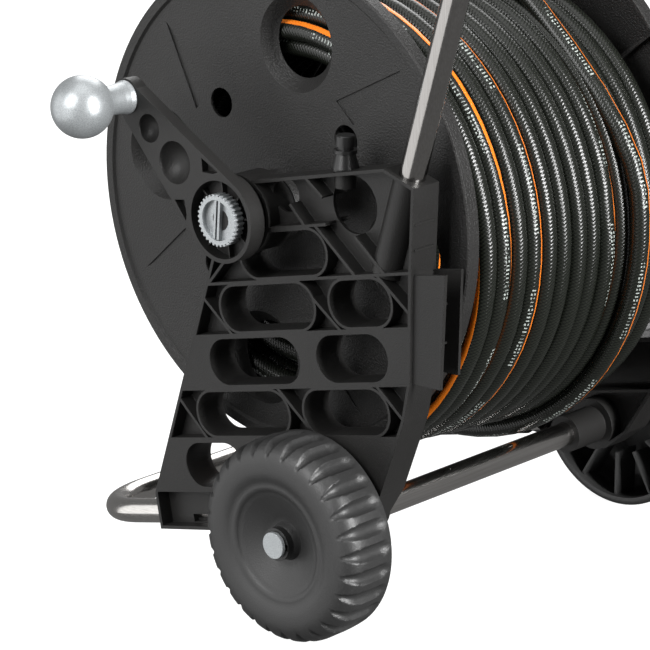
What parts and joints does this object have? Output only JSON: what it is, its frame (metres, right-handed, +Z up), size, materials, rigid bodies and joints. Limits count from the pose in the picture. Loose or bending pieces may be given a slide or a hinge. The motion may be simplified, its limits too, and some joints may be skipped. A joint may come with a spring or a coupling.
{
  "type": "garden hose reel cart",
  "caption": "Wheeled garden hose reel with ribbed plastic side frames, steel U handle and foot, crank with ball knob and wound hose.",
  "frame": {"origin": "floor level, under the middle of the cart's bounding box", "axes": "+X towards the crank side along the reel axis, +Y towards the handle and wheels (rear), +Z up"},
  "size_m": [0.551, 0.5756, 0.905],
  "materials": {
    "frame_plastic": "satin",
    "reel_plastic": "fine texture",
    "wheel_plastic": "satin",
    "dark_plastic": "satin",
    "silver_plastic": "satin silver",
    "tube_steel": "polished",
    "screw_steel": "plain",
    "seal_rubber": "matte",
    "hose_rubber": "glossy braid"
  },
  "bodies": {
    "chassis": {"side_frame_crank_side": "frame_plastic", "side_frame_inlet_side": "frame_plastic", "axle_tube": "tube_steel", "axle_end_cap_crank_side": "silver_plastic", "axle_end_cap_inlet_side": "silver_plastic", "wheel_keeper_crank_side": "dark_plastic", "wheel_keeper_inlet_side": "dark_plastic", "connector_parking_peg": "dark_plastic", "handle_tube": "tube_steel", "foot_tube": "tube_steel", "handle_fixing_screws": "screw_steel", "foot_fixing_screws": "screw_steel"},
    "reel": {"reel_flange_crank_side": "reel_plastic", "reel_flange_inlet_side": "reel_plastic", "drum_half_crank_side": "reel_plastic", "drum_half_inlet_side": "reel_plastic", "drum_tie_rods": "screw_steel", "hub_journal_crank_side": "dark_plastic", "hub_journal_inlet_side": "dark_plastic", "inlet_seal_ring": "seal_rubber", "thrust_washer_crank_side": "dark_plastic", "thrust_washer_inlet_side": "dark_plastic", "crank_arm": "frame_plastic", "knob_spindle": "screw_steel", "crank_lock_nut": "silver_plastic", "drum_outlet_elbow": "dark_plastic", "hose_coil": "hose_rubber", "hose_end_connector": "dark_plastic"},
    "knob": {"crank_knob": "silver_plastic"},
    "wheel_crank": {"wheel_crank_side": "wheel_plastic"},
    "wheel_inlet": {"wheel_inlet_side": "wheel_plastic"},
    "inlet": {"water_inlet_elbow": "dark_plastic"}
  },
  "joints": [
    {"name": "reel_spin", "type": "hinge", "parent": "chassis", "child": "reel", "pos_m": [-0.0216, -0.0432, 0.343], "axis": [1, 0, 0], "continuous": true},
    {"name": "knob_spin", "type": "hinge", "parent": "reel", "child": "knob", "pos_m": [0.2489, -0.15384, 0.42976], "axis": [1, 0, 0], "continuous": true},
    {"name": "wheel_crank_spin", "type": "hinge", "parent": "chassis", "child": "wheel_crank", "pos_m": [0.2, 0.0488, 0.088], "axis": [1, 0, 0], "continuous": true},
    {"name": "wheel_inlet_spin", "type": "hinge", "parent": "chassis", "child": "wheel_inlet", "pos_m": [-0.25, 0.0488, 0.088], "axis": [1, 0, 0], "continuous": true},
    {"name": "inlet_swivel", "type": "hinge", "parent": "reel", "child": "inlet", "pos_m": [-0.24, -0.0432, 0.343], "axis": [1, 0, 0], "continuous": true}
  ]
}
